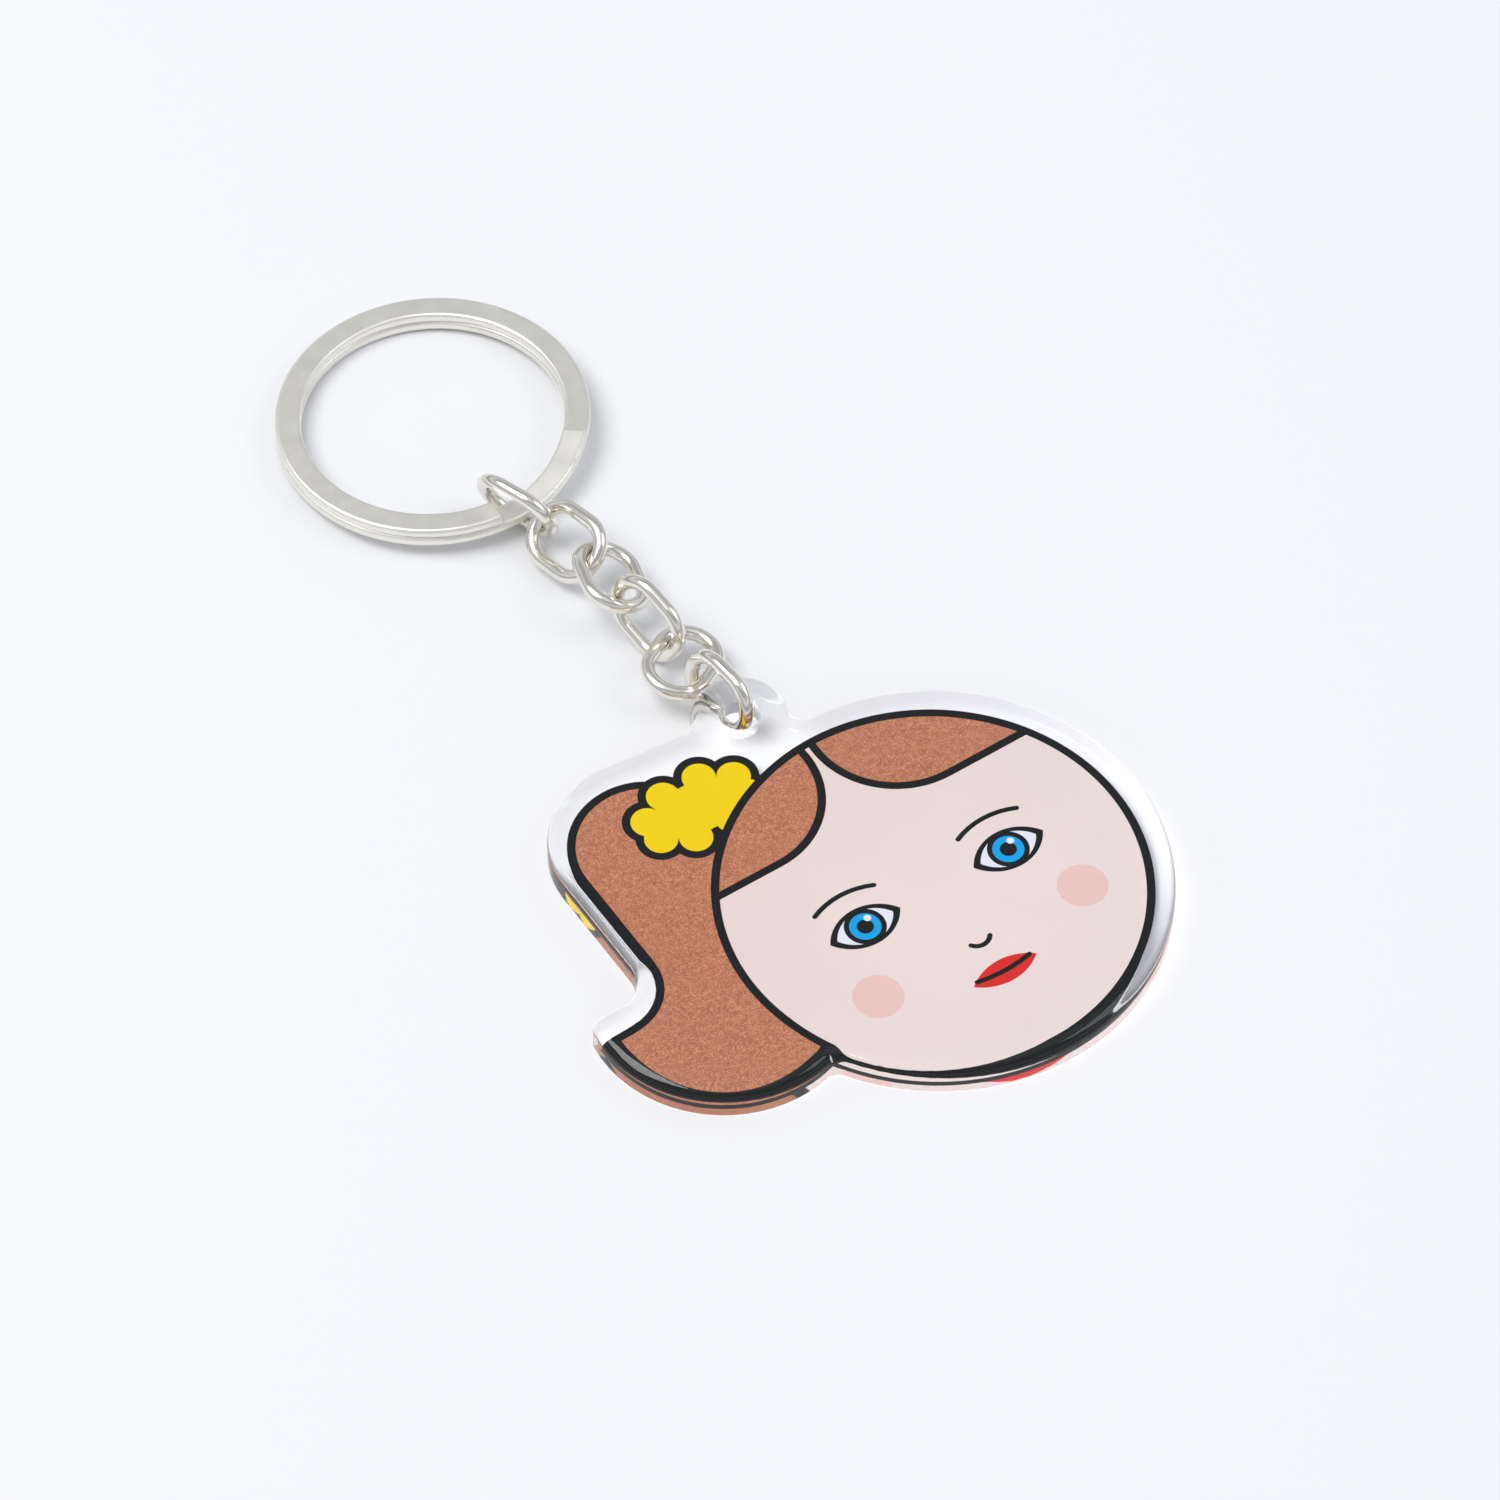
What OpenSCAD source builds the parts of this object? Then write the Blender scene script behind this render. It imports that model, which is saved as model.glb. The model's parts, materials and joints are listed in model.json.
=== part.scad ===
// Keychain: a split ring, five closed chain links, an open jump ring and a clear charm.
// The charm is an acrylic plate with a picture printed on its back and a resin dome poured on its front.
// Origin: centre of the round head, on the charm's back. +X to the head's right, +Y to its top, +Z up.
// The keychain lies on a table: the charm leans on its jump ring, and the split ring leans on its link.

/* [Charm outline] */
// Radius of the plate round the head
head_r = 22.1; // [18:0.1:26.5]
// Radius of the plate round the top of the side tail
tail_top_r = 9.3; // [7.7:0.1:11.2]
// How far the centre of the tail's top stands out from the head
tail_top_out = 5.1; // [4:0.1:7]
// Direction of the tail's top from the head's centre
tail_top_bearing = 136.6; // [134:0.1:139]
// Radius of the plate round the swelling at the tail's end
tail_end_r = 13.1; // [11:0.1:15.7]
// How far the centre of the tail's end stands out from the head
tail_end_out = 0.9; // [0:0.1:3]
// Direction of the tail's end from the head's centre
tail_end_bearing = 177; // [174:0.5:180]
// Height of the lip above the centre of the tail's end
lip_rise = 3.2; // [2:0.1:4]
// Radius of the lip's corner
lip_r = 1.6; // [1.5:0.1:2.4]
// Radius of the hollow above the lip
notch_r = 3; // [2:0.1:3.5]
// Radius of the plate round the hair tie
tie_edge_r = 6.8; // [6:0.1:8]
// How far the centre of the hair tie stands out from the head
tie_out = 1.6; // [1:0.1:2]
// Direction of the hair tie from the head's centre
tie_bearing = 120.5; // [119:0.5:122]
// Radius of the hollows beside the tab and under the tail
web_r = 1.5; // [1:0.1:2]

/* [Tab] */
// How far the centre of the tab stands out from the head
tab_out = 4.2; // [3.8:0.1:5]
// Direction of the tab from the head's centre
tab_bearing = 100.3; // [98:0.1:102]
// Radius of the hole in the tab
hole_r = 2; // [1.9:0.05:2.4]
// Radius of the tab round the hole
tab_r = 4.65; // [4.3:0.05:5]

/* [Layers] */
// Thickness of the white backing, which is printed last
backing_t = 0.05; // [0.04:0.01:0.1]
// Thickness of the coloured inks
ink_t = 0.05; // [0.04:0.01:0.1]
// Thickness of the acrylic plate
plate_t = 1.8; // [1.5:0.1:2.2]
// Height of the resin dome in the middle
dome_t = 1.2; // [1:0.05:1.45]
// How far in from the edge the dome's rounding reaches
dome_edge = 1.3; // [1:0.05:1.45]

/* [Picture] */
// Clear border between the plate's edge and the picture
border = 1.9; // [1.7:0.1:2.5]
// How much larger than that border allows the printed head is
head_grow = 0.35; // [0:0.05:0.5]
// How much larger than that border allows the end of the printed tail is
tail_grow = 0.4; // [0:0.05:0.5]
// Where the printed head's centre stands from the plate's
head_shift = [-0.4, 0.1]; // [-0.6:0.05:0.6]
// Width of the outlines
line_w = 0.8; // [0.7:0.05:1]
// Width of the fine lines
fine_w = 0.5; // [0.4:0.05:0.7]
// Radius of the fringe's two sweeps
fringe_r = 9.2; // [8:0.1:10]
// Half the width of the parting between them
parting = 0.2; // [0.1:0.05:0.5]
// How far the centres of the sweeps lie below the top of the plate
fringe_drop = 3; // [2:0.1:3.5]
// How far the parting lies to the side of the head's middle
fringe_shift = 1.2; // [0:0.1:1.5]
// Radius of a scallop of the hair tie
scallop_r = 2.4; // [2.2:0.1:2.8]
// Half the length of the row of scallops round the hair tie
tie_half_w = 5.2; // [4.5:0.1:6]
// Half its height
tie_half_h = 3; // [2.5:0.1:3.5]
// Distance of an eye's centre from the middle of the face
eye_x = 8; // [7:0.1:9]
// Width of an eye
eye_w = 7.8; // [6.5:0.1:9]
// Height of an eye
eye_h = 4.4; // [3.8:0.1:5]
// Radius of an iris
iris_r = 1.75; // [1.4:0.05:1.85]
// Radius of a pupil
pupil_r = 0.8; // [0.6:0.05:1]
// Radius of the glint in an eye
glint_r = 0.36; // [0.3:0.02:0.5]
// Height of the brows above the eyes' centres
brow_rise = 4.2; // [4:0.1:5]
// Height of the nose's base below the eyes' centres
nose_drop = 6.4; // [5:0.1:7.5]
// Height of the mouth below the eyes' centres
mouth_drop = 11.2; // [10:0.1:12.5]
// Width of the mouth
mouth_w = 7; // [6:0.1:8.5]
// Height of the lips
mouth_h = 2.6; // [2:0.1:3.2]
// Radius of a cheek's blush
cheek_r = 2.4; // [2:0.1:2.8]
// Distance of a cheek from the middle of the face
cheek_x = 11.4; // [10:0.1:12]
// Height of the cheeks below the eyes' centres
cheek_drop = 7.2; // [6.5:0.1:8]

/* [Chain] */
// Diameter of the links' wire
wire_d = 1.4; // [1.2:0.05:1.6]
// Radius of a link's ends, at the middle of its wire
bend_r = 2.85; // [2.7:0.05:3.3]
// Length of a link's straight sides
side_len = 2.24; // [1.8:0.02:2.8]
// Play between two links
link_gap = 0.08; // [0.06:0.02:0.12]
// Gap between the cut ends of the jump ring
cut_gap = 0.25; // [0.15:0.05:0.4]

/* [Lie of the chain] */
// Where the jump ring's hinge stands from the tab's centre
chain_start = [0.18, 0.91, 2.76]; // [-2:0.01:4]
// Each lie: heading, tip, roll, place on the neighbour's bend and place on its own bend, in degrees
jump_ring_lie = [4.6, 0.4, -75.4, 0, -1.4]; // [-120:0.1:120]
link_5_lie = [-59.6, -6.7, 7.6, -14.7, -110.9]; // [-120:0.1:120]
link_4_lie = [9, 17.9, -73.6, -76.9, -0.2]; // [-120:0.1:120]
link_3_lie = [-15.5, -3.7, 21.4, -23, 10.9]; // [-120:0.1:120]
link_2_lie = [9.8, -7.1, -38.3, -30, -18]; // [-120:0.1:120]
link_1_lie = [19.2, -1.4, 75.6, 2.1, -25.1]; // [-120:0.1:120]
split_ring_lie = [-5.2, -3.1, -0.5, 0, 0]; // [-120:0.1:120]
// Where the jump ring is cut, measured from its right side
cut_angle = 135; // [0:1:180]
// Play between the link's wire and the inside of the split ring
ring_gap = 1.25; // [0.1:0.05:2]
// How far the ring's middle lies below the middle of the link's wire
ring_drop = 0.92; // [0:0.02:1]

/* [Split ring] */
// Outer diameter of the split ring
ring_d = 30; // [25:0.5:36]
// Width of the ring's flat wire
strip_w = 2.43; // [2:0.05:2.6]
// Thickness of one turn of the ring
strip_t = 1.05; // [0.9:0.05:1.15]
// Play between the two turns of the ring
turn_gap = 0.05; // [0.04:0.01:0.08]
// Rounding of the wire's edges
strip_round = 0.35; // [0.2:0.05:0.4]
// Angle over which the wire passes from the upper turn to the lower
ramp_angle = 35; // [28:1:45]
// Where the ramp starts, measured from the ring's +X
ramp_start = -39.7; // [-45:0.1:-35]
// Gap between the foot of the ramp and the cut end above it
end_gap_angle = 17; // [14:1:20]

/* [Hidden] */
$fn = 96;
// How far a chord may stray from its arc
chord_sag = 0.015;
// Bands of facets up the rounded edge of the dome
dome_steps = 6;

// ---- Angles and places in a plane ----
function unit(a) = [cos(a), sin(a)];
function polar(r, a) = r * unit(a);
function bearing(p, q) = atan2(q[1] - p[1], q[0] - p[0]);
function whole_turn(a) = (a % 360 + 360) % 360;
// The angle `to`, reached from the angle `from` by turning left or right
function left_to(from, to) = from + whole_turn(to - from);
function right_to(from, to) = from - whole_turn(from - to);
// Point at distance a from p and b from q, on the right of the way from p to q
function meet(p, a, q, b) =
    let (
        d = norm(q - p),
        u = (q - p) / d,
        x = (a * a - b * b + d * d) / (2 * d),
        y = sqrt(a * a - x * x)
    )
    p + x * u + y * [u[1], -u[0]];
// Points of an arc of radius r, shifted outwards, with `skip` of its first and last points left out
function arc(c, r, from, to, shift = 0, skip = [0, 0]) =
    let (n = max(2, ceil(abs(to - from) / (2 * acos(1 - chord_sag / r)))))
    [for (i = [skip[0]:n - skip[1]]) c + polar(r + shift, from + (to - from) * i / n)];

// ---- Places on the charm ----
head = [0, 0];
tab = polar(head_r + tab_out, tab_bearing);
tie = polar(head_r + tie_out, tie_bearing);
tail_top = polar(head_r + tail_top_out, tail_top_bearing);
tail_end = polar(head_r + tail_end_out, tail_end_bearing);
// Centres of the hollows: either side of the tab, under the tail and above the lip
right_web = meet(head, head_r + web_r, tab, tab_r + web_r);
left_web = meet(tab, tab_r + web_r, tie, tie_edge_r + web_r);
under_web = meet(tail_end, tail_end_r + web_r, head, head_r + web_r);
lip_y = tail_end[1] + lip_rise;
notch = [tail_top[0] - tail_top_r - notch_r, lip_y + notch_r];
lip = [
    tail_end[0] - sqrt((tail_end_r - lip_r) ^ 2 - (lip_rise - lip_r) ^ 2),
    lip_y - lip_r
];
// Direction that the straight edge between the hair tie and the tail faces
crown_angle = whole_turn(
    bearing(tie, tail_top) - acos((tie_edge_r - tail_top_r) / norm(tail_top - tie))
);
// Layers, from the back up
plate_bottom = backing_t + ink_t;
plate_top = plate_bottom + plate_t;
crown = plate_top + dome_t;

// An arc that bulges out, from facing p to facing q, and one that is hollow
function bulge(c, r, p, q, inset) =
    arc(c, r, bearing(c, p), left_to(bearing(c, p), bearing(c, q)), -inset);
function hollow(c, r, p, q, inset) =
    arc(c, r, bearing(c, p), right_to(bearing(c, p), bearing(c, q)), inset, [1, 1]);
// The charm's edge, anticlockwise, with every point moved in by `inset`
function outline(inset = 0) = [
    each bulge(head, head_r, under_web, right_web, inset),
    each hollow(right_web, web_r, head, tab, inset),
    each bulge(tab, tab_r, right_web, left_web, inset),
    each hollow(left_web, web_r, tab, tie, inset),
    each arc(tie, tie_edge_r, min(bearing(tie, left_web), crown_angle - 1), crown_angle, -inset),
    each arc(tail_top, tail_top_r, crown_angle, 180, -inset),
    each arc(notch, notch_r, 0, -90, inset),
    each arc(lip, lip_r, 90, whole_turn(bearing(tail_end, lip)), -inset, [0, 1]),
    each bulge(tail_end, tail_end_r, lip, under_web, inset),
    each hollow(under_web, web_r, tail_end, head, inset)
];

// ---- How the charm lies ----
// Its back touches the table along the line that touches both the head and the tail's end.
rest_normal = unit(
    bearing(head, tail_end) + acos((head_r - tail_end_r) / norm(tail_end - head))
);
// Play between the wire, the tab and the table
wire_clearance = 0.03;
// It leans about that line until the wire fits under the tab.
charm_lean = asin((wire_d + 2 * wire_clearance) / (head_r - tab * rest_normal + hole_r / 2));
module lean() {
    rotate(a = charm_lean, v = [-rest_normal[1], rest_normal[0], 0])
    children();
}

// ---- The clear body ----
module hole() {
    translate([tab[0], tab[1], -1])
    cylinder(r = hole_r, h = crown + 2);
}

module clear_plate() {
    color([0.92, 0.95, 0.97, 0.35])
    lean()
    difference() {
        translate([0, 0, plate_bottom])
        linear_extrude(plate_t)
        polygon(outline());
        hole();
    }
}

// Rings of points, each further in and higher along a quarter of an ellipse, joined by bands
module dome_body() {
    edge = outline();
    n = len(edge);
    points = [
        for (k = [0:dome_steps])
        let (t = 90 * k / dome_steps, ring = outline(dome_edge * (1 - cos(t))))
        for (p = ring) [p[0], p[1], plate_top + dome_t * sin(t)]
    ];
    bands = [
        for (k = [0:dome_steps - 1])
        for (i = [0:n - 1])
        let (a = k * n + i, b = k * n + (i + 1) % n)
        each [[a, a + n, b], [b, a + n, b + n]]
    ];
    floor_face = [for (i = [0:n - 1]) i];
    top_face = [for (i = [n - 1:-1:0]) dome_steps * n + i];
    polyhedron(points, [floor_face, top_face, each bands]);
}

module clear_dome() {
    color([0.92, 0.95, 0.97, 0.35])
    lean()
    difference() {
        dome_body();
        hole();
    }
}

// ---- The picture ----
// Areas, each moved in by `inset`
module head_area(inset = 0) {
    translate(head_shift)
    circle(head_r - border + head_grow - inset);
}

module hair_area(inset = 0) {
    edge = border + inset;
    end_r = tail_end_r - edge + tail_grow;
    corner_angle = 180 - asin((lip_y - edge - tail_end[1]) / end_r);
    polygon([
        head,
        each arc(tail_top, tail_top_r, 60, 180, -edge),
        each arc(notch, notch_r, 0, -90, edge),
        each arc(tail_end, end_r, corner_angle, 300)
    ]);
}

// A ring of scallops round an oval
module tie_area(inset = 0) {
    scallops = 8;
    corners = [
        for (i = [0:scallops - 1])
        let (a = 360 / scallops * (i + 0.5))
        tie_middle + [tie_half_w * cos(a), tie_half_h * sin(a)]
    ];
    for (c = corners) {
        translate(c)
        circle(scallop_r - inset);
    }
    polygon(corners);
}
tie_middle = tie + [-1.4, -0.6];

// Two sweeps of hair that meet at the parting
module fringe_area(inset = 0) {
    intersection() {
        head_area(inset);
        for (side = [-1, 1]) {
            translate([side * (fringe_r + parting) - fringe_shift, head_r - fringe_drop]) {
                circle(fringe_r - inset);
                translate([side * head_r / 2, 0])
                square([head_r, 2 * (fringe_r - inset)], center = true);
            }
        }
    }
}

// An almond, the overlap of two equal circles
module almond(w, h) {
    r = (w * w + h * h) / (4 * h);
    intersection() {
        translate([0, r - h / 2])
        circle(r);
        translate([0, h / 2 - r])
        circle(r);
    }
}

// A stroke of width w along an arc, with round ends
module stroke(r, from, to, w) {
    polygon([
        each arc([0, 0], r, from, to, w / 2),
        each arc(polar(r, to), w / 2, to, to + 180, 0, [1, 1]),
        each arc([0, 0], r, to, from, -w / 2),
        each arc(polar(r, from), w / 2, from + 180, from + 360, 0, [1, 1])
    ]);
}

module at_eyes() {
    for (side = [-1, 1]) {
        translate([side * eye_x, 0])
        children();
    }
}

module glints() {
    at_eyes()
    translate([0.7, 0.7])
    circle(glint_r);
}

module lips(inset = 0) {
    translate([0, -mouth_drop])
    almond(mouth_w - 2 * inset, mouth_h - inset);
}

// Every dark line of the picture
module lines() {
    difference() {
        head_area();
        head_area(line_w);
    }
    difference() {
        hair_area();
        hair_area(line_w);
        head_area(line_w);
        tie_area(line_w / 2);
    }
    difference() {
        tie_area();
        tie_area(line_w);
        head_area(line_w);
    }
    difference() {
        fringe_area();
        fringe_area(line_w);
    }
    // Eyes: the lids, the pupils and a fine ring round each iris
    difference() {
        at_eyes() {
            difference() {
                almond(eye_w, eye_h);
                almond(eye_w - 2 * line_w, eye_h - line_w);
            }
            difference() {
                circle(iris_r + fine_w / 2);
                circle(iris_r - fine_w / 2);
            }
            circle(pupil_r);
        }
        glints();
    }
    // Brows, nose and the line between the lips
    for (side = [-1, 1]) {
        translate([side * eye_x, brow_rise - eye_w])
        stroke(eye_w, 65, 115, fine_w);
    }
    translate([0, -nose_drop])
    stroke(1.3, 215, 325, fine_w);
    translate([0, 2 * mouth_w - mouth_drop])
    stroke(2 * mouth_w, 258, 282, fine_w);
}

// A flat film of ink, cut to the picture's area
module film(bottom, thickness) {
    lean()
    translate([0, 0, bottom])
    linear_extrude(thickness)
    children();
}

module ink(paint) {
    color(paint)
    film(backing_t, ink_t)
    difference() {
        children();
        lines();
    }
}

module backing_ink() {
    color("white")
    film(0, backing_t) {
        head_area();
        hair_area();
        tie_area();
    }
}

module line_ink() {
    color([0.1, 0.11, 0.12])
    film(backing_t, ink_t)
    lines();
}

module skin_ink() {
    ink([0.93, 0.84, 0.81])
    difference() {
        head_area(line_w / 2);
        fringe_area(line_w / 2);
        at_eyes()
        almond(eye_w - line_w, eye_h - line_w / 2);
        lips();
        cheeks();
    }
}

module cheeks() {
    for (side = [-1, 1]) {
        translate([side * cheek_x, -cheek_drop])
        circle(cheek_r);
    }
}

module cheek_ink() {
    ink([0.95, 0.68, 0.66])
    cheeks();
}

module hair_ink() {
    ink([0.72, 0.44, 0.32])
    difference() {
        hair_area(line_w / 2);
        head_area(line_w / 2);
        tie_area(line_w / 2);
    }
}

module fringe_ink() {
    ink([0.72, 0.44, 0.32])
    fringe_area(line_w / 2);
}

module hair_tie_ink() {
    ink([0.96, 0.85, 0])
    difference() {
        tie_area(line_w / 2);
        head_area(line_w / 2);
    }
}

module eye_white_ink() {
    ink([0.88, 0.9, 0.95]) {
        difference() {
            at_eyes()
            almond(eye_w - line_w, eye_h - line_w / 2);
            at_eyes()
            circle(iris_r);
        }
        glints();
    }
}

module iris_ink() {
    ink([0, 0.63, 0.88])
    difference() {
        at_eyes()
        circle(iris_r);
        glints();
    }
}

module lip_ink() {
    ink([0.83, 0.16, 0.16])
    lips();
}

// ---- The chain ----
wire_r = wire_d / 2;
// A link hangs from a hinge at the middle of its neighbour's wire. Its own wire passes just inside.
near = wire_d + link_gap;
lies = [
    jump_ring_lie, link_5_lie, link_4_lie, link_3_lie, link_2_lie, link_1_lie, split_ring_lie
];

// A vector rolled about +Y, tipped up about +X and then headed about +Z
function rolled(v, a) = [v[0] * cos(a) + v[2] * sin(a), v[1], v[2] * cos(a) - v[0] * sin(a)];
function tipped(v, a) = [v[0], v[1] * cos(a) - v[2] * sin(a), v[1] * sin(a) + v[2] * cos(a)];
function headed(v, a) = [v[0] * cos(a) - v[1] * sin(a), v[0] * sin(a) + v[1] * cos(a), v[2]];
function laid(v, lie) = headed(tipped(rolled(v, lie[2]), lie[1]), lie[0]);
// Centre of a link's near bend from its hinge, and the hinge of the next piece on its far bend
function near_bend(i) = (bend_r - near) * [sin(lies[i][4]), cos(lies[i][4]), 0];
function far_point(i) =
    near_bend(i) + [0, side_len, 0] + bend_r * [sin(lies[i + 1][3]), cos(lies[i + 1][3]), 0];
function hinge_at(i) =
    i == 0
        ? [tab[0], tab[1], 0] + chain_start
        : hinge_at(i - 1) + laid(far_point(i - 1), lies[i - 1]);

module lay(i) {
    translate(hinge_at(i))
    rotate([lies[i][1], 0, lies[i][0]])
    rotate([0, lies[i][2], 0])
    children();
}

module bend() {
    rotate_extrude(angle = 180)
    translate([bend_r, 0])
    circle(wire_r);
}

module oval_link(i) {
    color("silver")
    lay(i)
    translate(near_bend(i)) {
        rotate(180)
        bend();
        translate([0, side_len, 0])
        bend();
        for (side = [-1, 1]) {
            translate([side * bend_r, 0, 0])
            rotate([-90, 0, 0])
            cylinder(r = wire_r, h = side_len);
        }
    }
}

module link_1() {
    oval_link(5);
}

module link_2() {
    oval_link(4);
}

module link_3() {
    oval_link(3);
}

module link_4() {
    oval_link(2);
}

module link_5() {
    oval_link(1);
}

// The jump ring is cut across its far bend, where it was opened and pressed shut again
module jump_ring() {
    difference() {
        oval_link(0);
        lay(0)
        translate(near_bend(0) + [0, side_len, 0])
        rotate(cut_angle)
        translate([bend_r, 0, 0])
        cube([2 * wire_d, cut_gap, 2 * wire_d], center = true);
    }
}

// ---- The split ring ----
ring_middle_r = (ring_d - strip_w) / 2;
ring_inner_r = ring_d / 2 - strip_w;
turn_rise = (strip_t + turn_gap) / 2;
turn_angle = 360 - ramp_angle - end_gap_angle;

// The flat wire's section, with rounded edges
module strip_section() {
    square([strip_w - 2 * strip_round, strip_t], center = true);
    square([strip_w, strip_t - 2 * strip_round], center = true);
    for (x = [-1, 1]) {
        for (y = [-1, 1]) {
            translate([x * (strip_w / 2 - strip_round), y * (strip_t / 2 - strip_round)])
            circle(strip_round);
        }
    }
}

module turn(from, height) {
    translate([0, 0, height])
    rotate(from)
    rotate_extrude(angle = turn_angle)
    translate([ring_middle_r, 0])
    strip_section();
}

// The wire passes from the upper turn to the lower one in a short cranked stretch, tipped about its
// middle. Its ends run a little way into the turns.
module ramp() {
    lap = 0.8;
    tip = asin(turn_rise / (ring_middle_r * sin(ramp_angle / 2)));
    rotate(ramp_start - ramp_angle / 2)
    rotate([tip, 0, 0])
    rotate(-ramp_angle / 2 - lap)
    rotate_extrude(angle = ramp_angle + 2 * lap)
    translate([ring_middle_r, 0])
    strip_section();
}

module split_ring() {
    color("silver")
    lay(6)
    translate([0, ring_inner_r - wire_r - ring_gap, -ring_drop]) {
        turn(ramp_start, turn_rise);
        turn(ramp_start + end_gap_angle, -turn_rise);
        ramp();
    }
}

split_ring();
link_1();
link_2();
link_3();
link_4();
link_5();
jump_ring();
clear_plate();
clear_dome();
backing_ink();
line_ink();
skin_ink();
cheek_ink();
hair_ink();
fringe_ink();
hair_tie_ink();
eye_white_ink();
iris_ink();
lip_ink();
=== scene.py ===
# %% [markdown]
# # A keychain with a clear charm
# The object is a flat acrylic charm on a short chain and a split ring. The solid model gives every part
# its shape and its place. This lesson gives them their looks. It starts by loading the solids and
# measuring them.

# %% Load the solids
import json
import math
import bmesh
import bpy
from mathutils import Matrix, Vector

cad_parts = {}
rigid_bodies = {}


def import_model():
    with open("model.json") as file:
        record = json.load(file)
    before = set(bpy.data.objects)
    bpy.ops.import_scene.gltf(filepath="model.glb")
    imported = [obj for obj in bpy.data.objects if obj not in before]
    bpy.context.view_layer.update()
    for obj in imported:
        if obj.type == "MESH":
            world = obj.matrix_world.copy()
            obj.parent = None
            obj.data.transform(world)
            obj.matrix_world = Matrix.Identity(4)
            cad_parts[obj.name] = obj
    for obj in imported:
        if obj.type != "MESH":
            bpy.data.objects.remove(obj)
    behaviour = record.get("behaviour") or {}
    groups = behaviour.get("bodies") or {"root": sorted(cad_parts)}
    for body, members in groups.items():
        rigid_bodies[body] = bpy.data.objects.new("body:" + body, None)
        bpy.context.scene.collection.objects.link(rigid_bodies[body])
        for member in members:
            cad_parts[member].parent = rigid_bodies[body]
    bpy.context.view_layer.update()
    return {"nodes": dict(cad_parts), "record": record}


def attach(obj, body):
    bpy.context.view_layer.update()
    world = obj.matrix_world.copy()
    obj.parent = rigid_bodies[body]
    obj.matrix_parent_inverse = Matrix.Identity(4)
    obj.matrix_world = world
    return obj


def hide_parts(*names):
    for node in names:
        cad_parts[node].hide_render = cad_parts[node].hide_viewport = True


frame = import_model()
nodes = frame["nodes"]
MM = 0.001

# %% [markdown]
# ## The clear body
# A charm like this is a laser-cut acrylic plate with a dome of clear resin poured on it. The two bond so
# well that light sees one piece of clear material. Two touching solids would show false reflections
# between them, so here one closed shell stands for both. Its outline is taken from the plate's own top
# edge, and its top is lofted from rings that step inwards along a rounded profile.

# %% Find how the charm lies
tip = Vector(frame["record"]["mounts"][0]["axis"]).normalized()
up = -tip
lean = Vector((0, 0, 1)).rotation_difference(up).to_matrix().to_4x4()
plate = nodes["clear_plate"]
local = [lean.inverted() @ v.co for v in plate.data.vertices]
plate_low = min(p.z for p in local)
plate_high = max(p.z for p in local)
dome_high = max((lean.inverted() @ v.co).z for v in nodes["clear_dome"].data.vertices)
print("plate and crown in mm:", [round(z / MM, 2) for z in (plate_low, plate_high, dome_high)])

# %% [markdown]
# The plate's rim is read back from its mesh as two closed loops, the outer edge and the hole. Each rim
# point knows which way is inwards, so the rings of the dome can be made by extruding the loop and
# shifting its points.

# %% Read the rim of the plate
def rim_loops(source, height):
    """The closed loops of edges that bound the flat face of the plate at this height."""
    bm = bmesh.new()
    bm.from_mesh(source.data)
    bmesh.ops.transform(bm, matrix=lean.inverted(), verts=bm.verts)
    bmesh.ops.remove_doubles(bm, verts=bm.verts, dist=0.002 * MM)
    flat = [f for f in bm.faces if all(abs(v.co.z - height) < 0.01 * MM for v in f.verts)]
    count = {}
    for face in flat:
        for edge in face.edges:
            count[edge] = count.get(edge, 0) + 1
    left = {e for e, n in count.items() if n == 1}
    loops = []
    while left:
        edge = left.pop()
        loop = [edge.verts[0], edge.verts[1]]
        while True:
            after = next((e for e in loop[-1].link_edges if e in left), None)
            if after is None:
                break
            left.remove(after)
            loop.append(after.other_vert(loop[-1]))
        loops.append([Vector((v.co.x, v.co.y)) for v in loop[:-1]])
    bm.free()
    return sorted(loops, key=len, reverse=True)


def area_of(loop):
    return sum(a.cross(b) for a, b in zip(loop, loop[1:] + loop[:1])) / 2


def inward(loop):
    """For each point of a loop, the unit direction that points into the material on its left."""
    out = []
    for i, p in enumerate(loop):
        before, after = loop[i - 1], loop[(i + 1) % len(loop)]
        along = (p - before).normalized() + (after - p).normalized()
        out.append(Vector((-along.y, along.x)).normalized())
    return out


loops = rim_loops(plate, plate_high)
outer, hole = sorted(loops, key=lambda l: abs(area_of(l)), reverse=True)[:2]
if area_of(outer) < 0:
    outer.reverse()
if area_of(hole) > 0:
    hole.reverse()
hole_centre = sum(hole, Vector((0, 0))) / len(hole)
hole_r = (hole[0] - hole_centre).length
print("rim points:", len(outer), "hole points:", len(hole), "hole radius:", round(hole_r / MM, 2))

# %% [markdown]
# The resin stands up steeply at its edge, because surface tension holds it there, and then rises slowly
# to its crown. One formula gives its height from the distance to the edge.

# %% The dome's height
EDGE = 1.3 * MM
SHOULDER = 0.72
SLOPE_WIDTH = 7 * MM
HOLE_ROUND = 0.5 * MM
dome_t = dome_high - plate_high


def dome_height(inset, from_hole):
    steep = math.sqrt(1 - (1 - min(inset / EDGE, 1)) ** 2)
    slow = 1 - (1 - min(inset / SLOPE_WIDTH, 1)) ** 2
    dip = 0.2 * dome_t * (1 - min(from_hole / HOLE_ROUND, 1)) ** 2
    return plate_high + dome_t * (SHOULDER * steep + (1 - SHOULDER) * slow) - dip


def edge_distance(p):
    best = 1.0
    for a, b in zip(outer, outer[1:] + outer[:1]):
        d = b - a
        t = max(0.0, min(1.0, (p - a).dot(d) / d.length_squared))
        best = min(best, (p - a - t * d).length)
    return best


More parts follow.
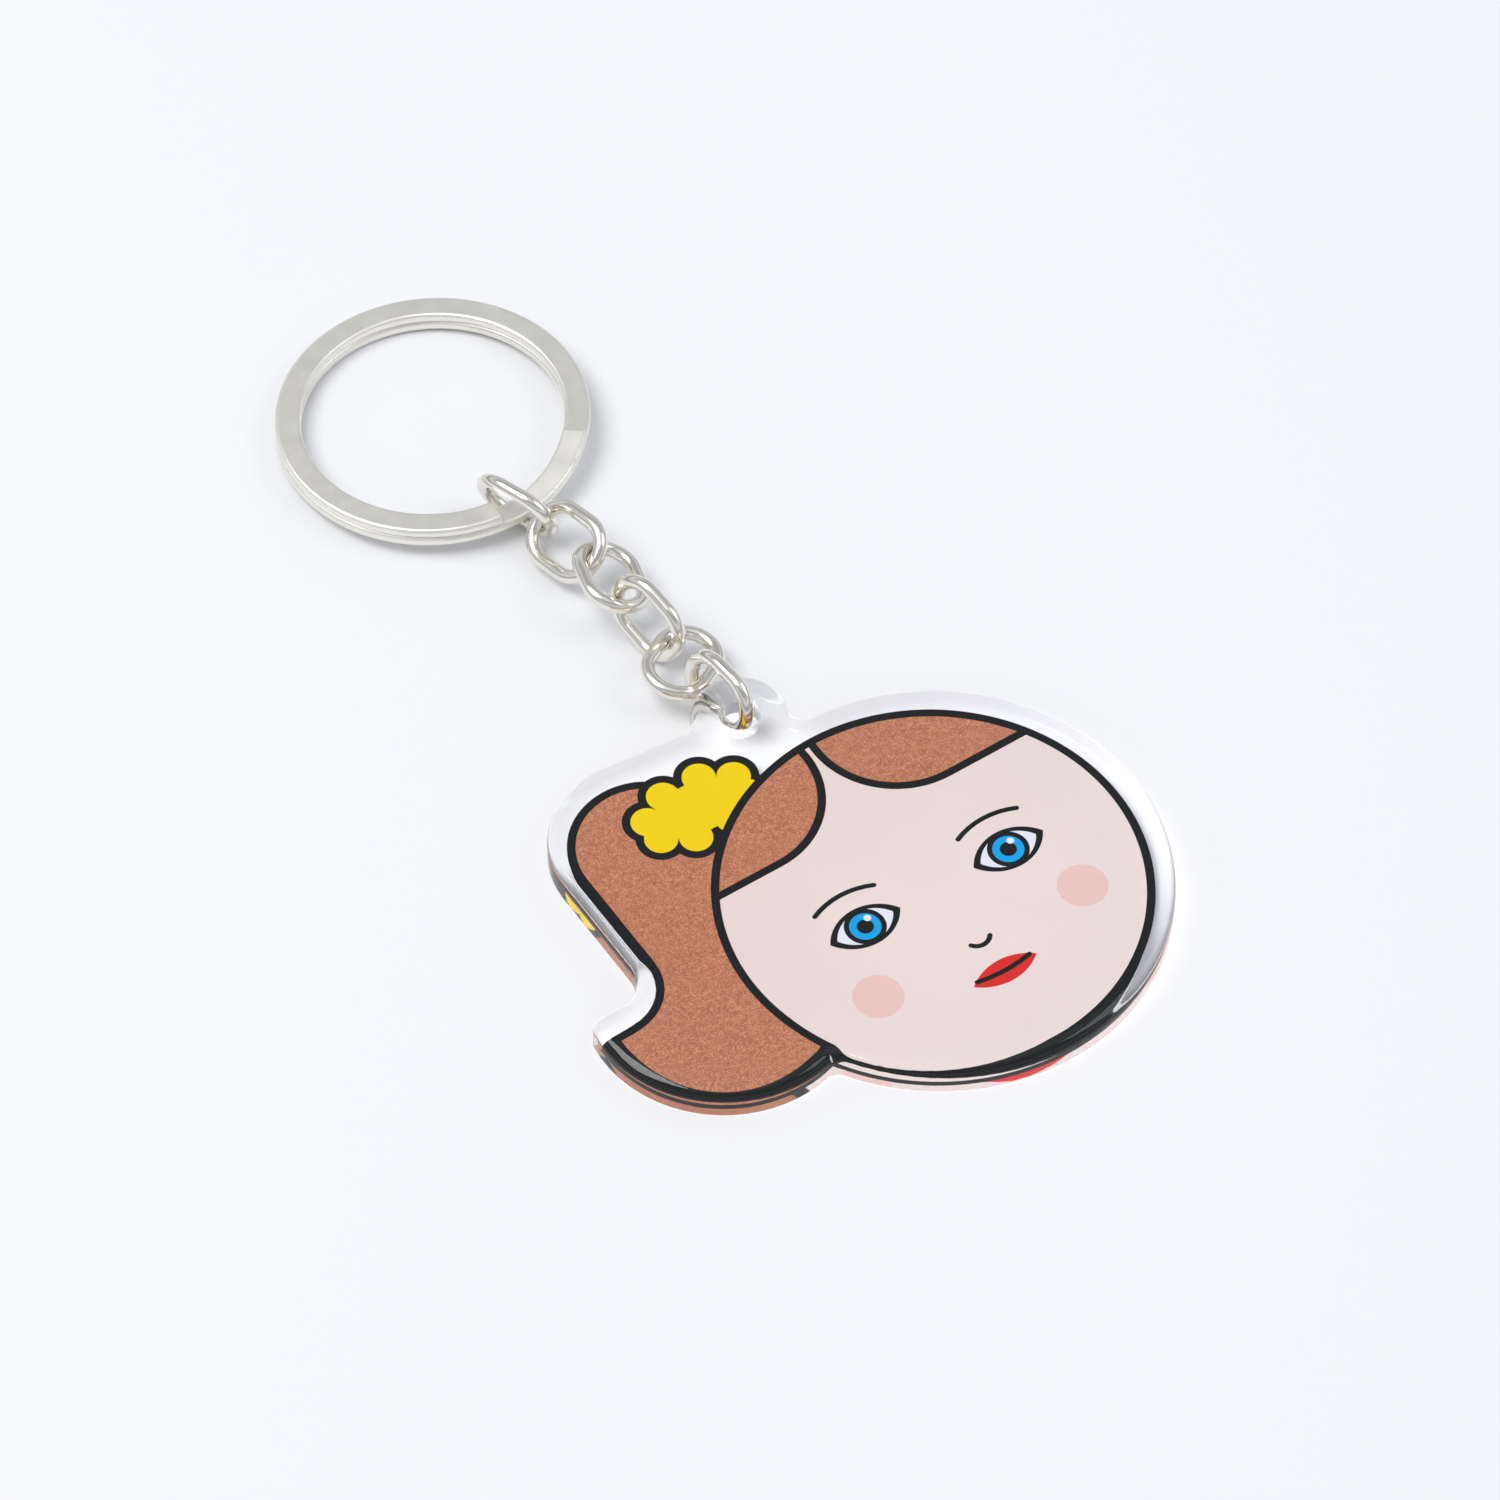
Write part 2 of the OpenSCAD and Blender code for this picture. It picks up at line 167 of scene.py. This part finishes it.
# %% [markdown]
# The shell starts as the two loops at the plate's top. They are extruded down to make the wall and the
# bore, and inwards and up to make the rounded shoulder. The top is filled, cut into small cells with
# planes, and each new point is lifted onto the dome.

# %% Build the clear body
CELL = 0.9 * MM
SHOULDER_RINGS = 9
# edges that turn by more degrees than this stay crisp
SHARP_ANGLE = 30
contact = 0.02 * MM
bottom = plate_low - contact


def loop_edges(bm, points, z):
    verts = [bm.verts.new((p.x, p.y, z)) for p in points]
    return [bm.edges.new((a, b)) for a, b in zip(verts, verts[1:] + verts[:1])], verts


def pull(bm, edges):
    """Extrudes a loop of edges. Returns the edges and the points of the new loop."""
    made = bmesh.ops.extrude_edge_only(bm, edges=edges)["geom"]
    new_verts = [g for g in made if isinstance(g, bmesh.types.BMVert)]
    new_set = set(new_verts)
    new_edges = [g for g in made if isinstance(g, bmesh.types.BMEdge) and g not in edges]
    ring = [e for e in new_edges if e.verts[0] in new_set and e.verts[1] in new_set]
    return ring, new_verts


def near_key(x, y):
    """A rim point's place, rounded so that it can be looked up."""
    return round(x, 7), round(y, 7)


bm = bmesh.new()
outer_edges, outer_verts = loop_edges(bm, outer, plate_high)
hole_edges, hole_verts = loop_edges(bm, hole, plate_high)
rim_of = {near_key(p.x, p.y): (p, n) for p, n in zip(outer, inward(outer))}

# the wall and the bore, down to the back
wall_edges, wall_verts = pull(bm, outer_edges)
bore_edges, bore_verts = pull(bm, hole_edges)
for v in wall_verts + bore_verts:
    v.co.z = bottom
bmesh.ops.triangle_fill(bm, edges=wall_edges + bore_edges, use_beauty=True, use_dissolve=False)

# the shoulder, ring by ring
rim_point = {v: rim_of[near_key(v.co.x, v.co.y)] for v in outer_verts}
ring_edges = outer_edges
for k in range(1, SHOULDER_RINGS + 1):
    shift = EDGE * (1 - math.cos(math.radians(90 * k / SHOULDER_RINGS)))
    before = rim_point
    ring_edges, ring_verts = pull(bm, ring_edges)
    rim_point = {}
    for v in ring_verts:
        source = next(e.other_vert(v) for e in v.link_edges if e.other_vert(v) in before)
        rim_point[v] = before[source]
    for v, (p, n) in rim_point.items():
        q = p + n * shift
        v.co = (q.x, q.y, dome_height(shift, 1.0))

# the bore, up to the crown
crown_edges, crown_verts = pull(bm, hole_edges)
for v in crown_verts:
    flat = Vector((v.co.x, v.co.y))
    v.co.z = dome_height(edge_distance(flat), 0.0)

# the top, cut into cells and lifted
before_faces = set(bm.faces)
bmesh.ops.triangle_fill(bm, edges=ring_edges + crown_edges, use_beauty=True, use_dissolve=False)
top_faces = [f for f in bm.faces if f not in before_faces]
fixed = {v for e in ring_edges + crown_edges for v in e.verts}
for v in {v for f in top_faces for v in f.verts}:
    v.co.z = dome_high if v not in fixed else v.co.z
low = Vector((min(p.x for p in outer), min(p.y for p in outer)))
high = Vector((max(p.x for p in outer), max(p.y for p in outer)))
for axis in (0, 1):
    place = low[axis] + CELL
    while place < high[axis]:
        normal = Vector((1, 0, 0)) if axis == 0 else Vector((0, 1, 0))
        top_edges = list({e for f in top_faces for e in f.edges})
        top_verts = list({v for f in top_faces for v in f.verts})
        geom = top_faces + top_edges + top_verts
        known = set(bm.faces) - set(top_faces)
        bmesh.ops.bisect_plane(bm, geom=geom, dist=0.001 * MM, plane_co=normal * place, plane_no=normal)
        top_faces = [f for f in bm.faces if f not in known]
        place += CELL
top_faces = [f for f in top_faces if abs(f.calc_center_median().z - plate_high) > 0.1 * MM]
for v in {v for f in top_faces for v in f.verts}:
    if v in fixed or any(f not in top_faces for f in v.link_faces):
        continue
    flat = Vector((v.co.x, v.co.y))
    v.co.z = dome_height(edge_distance(flat), (flat - hole_centre).length - hole_r)
bmesh.ops.recalc_face_normals(bm, faces=bm.faces)
for f in bm.faces:
    f.smooth = True
    for e in f.edges:
        e.smooth = e.calc_face_angle(0) < math.radians(SHARP_ANGLE)
bmesh.ops.transform(bm, matrix=lean, verts=bm.verts)
mesh = bpy.data.meshes.new("clear_body")
bm.to_mesh(mesh)
open_edges = sum(1 for e in bm.edges if len(e.link_faces) != 2)
bm.free()
clear_body = bpy.data.objects.new("clear_body", mesh)
bpy.context.scene.collection.objects.link(clear_body)
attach(clear_body, "charm")
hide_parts("clear_plate", "clear_dome")
# clear plastic hardly dims the light that falls through it onto the print
clear_body.visible_shadow = False
print("clear body:", len(mesh.polygons), "faces, open edges:", open_edges)

# %% [markdown]
# ## A small language for materials
# Shader maths reads best as ordinary expressions. A tiny class wraps a socket, so that `mask * 0.5 + 0.2`
# adds the Math nodes by itself. Every other node comes from one method.

# %% A socket that can be added and multiplied
class Socket:
    def __init__(self, graph, socket):
        self.graph = graph
        self.socket = socket

    def maths(self, operation, *others):
        return self.graph.node("ShaderNodeMath", {"operation": operation}, dict(enumerate((self, *others))))

    def __add__(self, other):
        return self.maths("ADD", other)

    def __radd__(self, other):
        return self.maths("ADD", other)

    def __sub__(self, other):
        return self.maths("SUBTRACT", other)

    def __rsub__(self, other):
        return self.graph.node("ShaderNodeMath", {"operation": "SUBTRACT"}, {0: other, 1: self})

    def __mul__(self, other):
        return self.maths("MULTIPLY", other)

    def __rmul__(self, other):
        return self.maths("MULTIPLY", other)

    def above(self, limit):
        return self.maths("GREATER_THAN", limit)


class Graph:
    """A material's node tree, with one method that makes any node."""

    def __init__(self, name):
        self.material = bpy.data.materials.new(name)
        self.material.use_nodes = True
        self.tree = self.material.node_tree
        self.tree.nodes.clear()

    def node(self, kind, settings=None, inputs=None, out=0):
        made = self.tree.nodes.new(kind)
        for key, value in (settings or {}).items():
            if key == "stops":
                for i, (place, colour) in enumerate(value):
                    ramp = made.color_ramp.elements
                    stop = ramp[i] if i < 2 else ramp.new(place)
                    stop.position = place
                    stop.color = (*colour, 1)
            else:
                setattr(made, key, value)
        for key, value in (inputs or {}).items():
            if isinstance(value, Socket):
                self.tree.links.new(value.socket, made.inputs[key])
            else:
                made.inputs[key].default_value = value
        return Socket(self, made.outputs[out])

    def noise(self, size, detail=2.0, roughness=0.5, stretch=(1, 1, 1)):
        """Soft noise whose lumps are about this size in metres, from 0 to 1."""
        where = self.node("ShaderNodeTexCoord", out=3)
        scale = tuple(s / size for s in stretch)
        where = self.node("ShaderNodeMapping", {}, {"Vector": where, "Scale": scale})
        return self.node(
            "ShaderNodeTexNoise", {},
            {"Vector": where, "Scale": 1.0, "Detail": detail, "Roughness": roughness})

    def mix(self, share, first, second):
        """A mix of two colours."""
        return self.node(
            "ShaderNodeMix", {"data_type": "RGBA"}, {0: share, 6: first, 7: second}, out=2)

    def bump(self, height, depth, strength=0.3):
        return self.node(
            "ShaderNodeBump", {}, {"Strength": strength, "Distance": depth, "Height": height})

    def finish(self, inputs):
        shader = self.node("ShaderNodeBsdfPrincipled", {}, inputs)
        output = self.tree.nodes.new("ShaderNodeOutputMaterial")
        self.tree.links.new(shader.socket, output.inputs["Surface"])
        return self.material


def linear(red, green, blue):
    """A display colour from 0 to 255 as a linear colour with alpha."""
    def one(value):
        value = value / 255
        return value / 12.92 if value <= 0.04045 else ((value + 0.055) / 1.055) ** 2.4
    return (one(red), one(green), one(blue), 1.0)


def dress(piece, material):
    piece.data.materials.clear()
    piece.data.materials.append(material)


# %% [markdown]
# ## Clear resin and acrylic
# Acrylic has an index of refraction of 1.49. A real charm isn't perfect glass: its poured top has a very
# slight orange-peel wave, and handling leaves faint fingerprints. Both live in Roughness and Normal only,
# so the clear colour stays the same all over.

# %% Clear body material
def clear_resin():
    g = Graph("clear_resin")
    wave = g.noise(7 * MM, detail=1.0)
    smear = g.noise(3.2 * MM, detail=4.0, roughness=0.6)
    return g.finish({
        "Base Color": (0.885, 0.89, 0.905, 1),
        "Roughness": smear.above(0.62) * 0.012 + 0.004,
        "IOR": 1.49,
        "Transmission Weight": 1.0,
        "Normal": g.bump(wave, 0.05 * MM, 0.25),
    })


dress(clear_body, clear_resin())

# %% [markdown]
# ## Printed inks
# The picture is printed on the plate's back in flat inks, then covered with white. Each ink has a fine
# print grain. The hair's ink has a copper metallic in it. Its flakes are more metallic and smoother, and
# they also carry painted glints: tiny specks mixed towards a lighter copper in the ink's colour.

# %% Ink materials
GRAIN = 0.12 * MM
# ink that touches resin has no gloss of its own
IN_RESIN = 0.0


def flat_ink(name, colour, grain_depth=0.06):
    g = Graph(name)
    grain = g.noise(GRAIN, detail=1.0)
    cloud = g.noise(9 * MM, detail=1.0)
    darker = tuple(c * (1 - 2 * grain_depth) for c in colour[:3]) + (1,)
    paint = g.mix(grain * 0.7 + cloud * 0.3, darker, colour)
    return g.finish({
        "Base Color": paint,
        "Roughness": grain * 0.1 + 0.45,
        "Specular IOR Level": IN_RESIN,
        "Normal": g.bump(grain, 0.002 * MM, 0.2),
    })


def copper_ink(name, colour, bright):
    g = Graph(name)
    flakes = g.noise(0.16 * MM, detail=2.0, roughness=0.7)
    clusters = g.noise(0.5 * MM, detail=2.0)
    sheen = g.noise(14 * MM, detail=1.0)
    # painted glints: the flake specks are mixed towards the lighter copper colour below; the raised
    # metallic and lower roughness at them are real
    glint_speck = (flakes * 0.75 + clusters * 0.25 - 0.42) * 4.0
    share = g.node("ShaderNodeClamp", {}, {0: glint_speck})
    dark = tuple(c * 0.74 for c in colour[:3]) + (1,)
    paint = g.mix(share, dark, bright)
    paint = g.mix(sheen * 0.35, paint, colour)
    return g.finish({
        "Base Color": paint,
        "Metallic": share * 0.3 + 0.12,
        "Specular IOR Level": IN_RESIN,
        "Roughness": 0.62 - share * 0.2,
        "Normal": g.bump(flakes, 0.01 * MM, 0.5),
    })


INKS = {
    "backing_ink": linear(236, 236, 240),
    "line_ink": linear(14, 17, 20),
    "skin_ink": linear(233, 219, 216),
    "cheek_ink": linear(233, 198, 192),
    "hair_tie_ink": linear(245, 214, 0),
    "eye_white_ink": linear(228, 232, 245),
    "iris_ink": linear(0, 162, 230),
    "lip_ink": linear(214, 40, 40),
}
for name, colour in INKS.items():
    dress(nodes[name], flat_ink(name, colour))
COPPER_INKS = ("hair_ink", "fringe_ink")
for name in COPPER_INKS:
    # the second colour is the lighter copper of the painted flake glints
    dress(nodes[name], copper_ink(name, linear(182, 116, 86), linear(224, 160, 126)))
print("inks:", len(INKS) + len(COPPER_INKS))

# %% [markdown]
# ## Nickel plate
# The ring is pressed from flat steel wire and barrel-plated, which leaves it satin. The links are bent
# from round wire and plated brighter. Small scratches and a faint cloud of wear break up the reflections.

# %% Nickel materials
def nickel(name, roughness, scratch, tint):
    g = Graph(name)
    cloud = g.noise(2.4 * MM, detail=3.0, roughness=0.6)
    fine = g.noise(0.35 * MM, detail=3.0, roughness=0.7)
    streak = g.noise(0.8 * MM, detail=2.0, stretch=(1, 7, 3))
    dull = tuple(c * 0.86 for c in tint[:3]) + (1,)
    return g.finish({
        "Base Color": g.mix(cloud, dull, tint),
        "Metallic": 1.0,
        "Roughness": cloud * 0.12 + fine * 0.06 + roughness - 0.08,
        "Normal": g.bump(streak * 0.6 + fine * 0.4, scratch, 0.35),
    })


BRIGHT = linear(244, 240, 231)
LINK_SHINE = 0.13
LINK_SCRATCH = 0.006 * MM
dress(nodes["split_ring"], nickel("satin_nickel", 0.42, 0.012 * MM, linear(250, 247, 240)))
for i in range(1, 6):
    link_metal = nickel(f"bright_nickel_{i}", LINK_SHINE + 0.01 * i, LINK_SCRATCH, BRIGHT)
    dress(nodes[f"link_{i}"], link_metal)
dress(nodes["jump_ring"], nickel("bright_nickel_jump_ring", LINK_SHINE, LINK_SCRATCH, BRIGHT))

# %% [markdown]
# ## Table, light and camera
# The keychain lies on a plain pale table under big soft lamps. The camera is far away with a long lens,
# so that the ring and the charm keep their true shapes.

# %% Table
STANDS_ON = ("jump_ring", "link_1", "split_ring", "backing_ink")
table_z = min(v.co.z for name in STANDS_ON for v in nodes[name].data.vertices)
bm = bmesh.new()
bmesh.ops.create_grid(bm, x_segments=1, y_segments=1, size=1.5)
bmesh.ops.translate(bm, verts=bm.verts, vec=(0, 0, table_z))
floor_mesh = bpy.data.meshes.new("table_top")
bm.to_mesh(floor_mesh)
bm.free()
table_top = bpy.data.objects.new("table_top", floor_mesh)
bpy.context.scene.collection.objects.link(table_top)
paper = Graph("pale_table")
table_paint = {"Base Color": (0.865, 0.87, 0.89, 1), "Roughness": 0.9, "Specular IOR Level": 0.1}
dress(table_top, paper.finish(table_paint))
print("table at", round(table_z / MM, 3), "mm")

# %% Lamps
TARGET = Vector((-4.56, 24.30, -0.73)) * MM


def soft_lamp(name, bearing, height, distance, size, power, colour=(1, 1, 1)):
    """A square soft lamp that aims at the keychain, at this bearing and height in degrees."""
    data = bpy.data.lights.new(name, "AREA")
    data.shape = "SQUARE"
    data.size = size
    data.energy = power
    data.color = colour
    lamp = bpy.data.objects.new(name, data)
    bpy.context.scene.collection.objects.link(lamp)
    b, h = math.radians(bearing), math.radians(height)
    toward = Vector((math.cos(b) * math.cos(h), math.sin(b) * math.cos(h), math.sin(h)))
    lamp.location = TARGET + toward * distance
    lamp.rotation_mode = "QUATERNION"
    lamp.rotation_quaternion = (-toward).to_track_quat("-Z", "Y")
    return lamp


# bearings are in the part's frame; the camera stands at bearing 236
soft_lamp("key", 150, 62, 1.1, 0.6, 6.4, (1.0, 0.995, 0.98))
soft_lamp("fill", 330, 48, 1.2, 0.6, 2.0, (0.95, 0.97, 1.0))

world = bpy.data.worlds.new("studio")
bpy.context.scene.world = world
world.use_nodes = True
tree = world.node_tree
tree.nodes.clear()
where = tree.nodes.new("ShaderNodeTexCoord")
split = tree.nodes.new("ShaderNodeSeparateXYZ")
ramp = tree.nodes.new("ShaderNodeValToRGB")
# The studio's walls are bright and its ceiling is dimmer, so that flat tops don't wash out. Each row is the
# height of a direction, as the sine of its angle, and the colour of the light from there.
GRADIENT = [
    (0.0, (0.72, 0.74, 0.78)),
    (0.16, (0.26, 0.27, 0.29)),
    (0.42, (0.78, 0.80, 0.84)),
    (0.68, (0.42, 0.43, 0.45)),
    (0.88, (0.42, 0.43, 0.45)),
    (0.97, (0.80, 0.81, 0.84)),
]
for i, (place, colour) in enumerate(GRADIENT):
    stop = ramp.color_ramp.elements[i] if i < 2 else ramp.color_ramp.elements.new(place)
    stop.position = place
    stop.color = (*colour, 1)
sky = tree.nodes.new("ShaderNodeBackground")
sky.inputs["Strength"].default_value = 1.0
out = tree.nodes.new("ShaderNodeOutputWorld")
tree.links.new(where.outputs["Generated"], split.inputs[0])
tree.links.new(split.outputs["Z"], ramp.inputs[0])
tree.links.new(ramp.outputs[0], sky.inputs["Color"])
tree.links.new(sky.outputs[0], out.inputs["Surface"])
bpy.context.scene.view_settings.view_transform = "Standard"

# %% Camera
VIEW_TURN = -34.0
VIEW_HEIGHT = 52.0
VIEW_DISTANCE = 1.3
VIEW_ROLL = 0.33
FOCAL = 333.96

camera = bpy.data.objects.new("camera", bpy.data.cameras.new("camera"))
bpy.context.scene.collection.objects.link(camera)
a, e = math.radians(VIEW_TURN), math.radians(VIEW_HEIGHT)
back = Vector((math.sin(a) * math.cos(e), -math.cos(a) * math.cos(e), math.sin(e)))
camera.location = TARGET + back * VIEW_DISTANCE
roll = Matrix.Rotation(math.radians(VIEW_ROLL), 3, "Z").to_quaternion()
camera.rotation_mode = "QUATERNION"
camera.rotation_quaternion = (-back).to_track_quat("-Z", "Y") @ roll
camera.data.sensor_width = 36
camera.data.lens = FOCAL
camera.data.clip_start = 0.05
camera.data.clip_end = 20
bpy.context.scene.camera = camera
print("camera at", [round(v / MM) for v in camera.location], "mm, lens", round(FOCAL, 1), "mm")
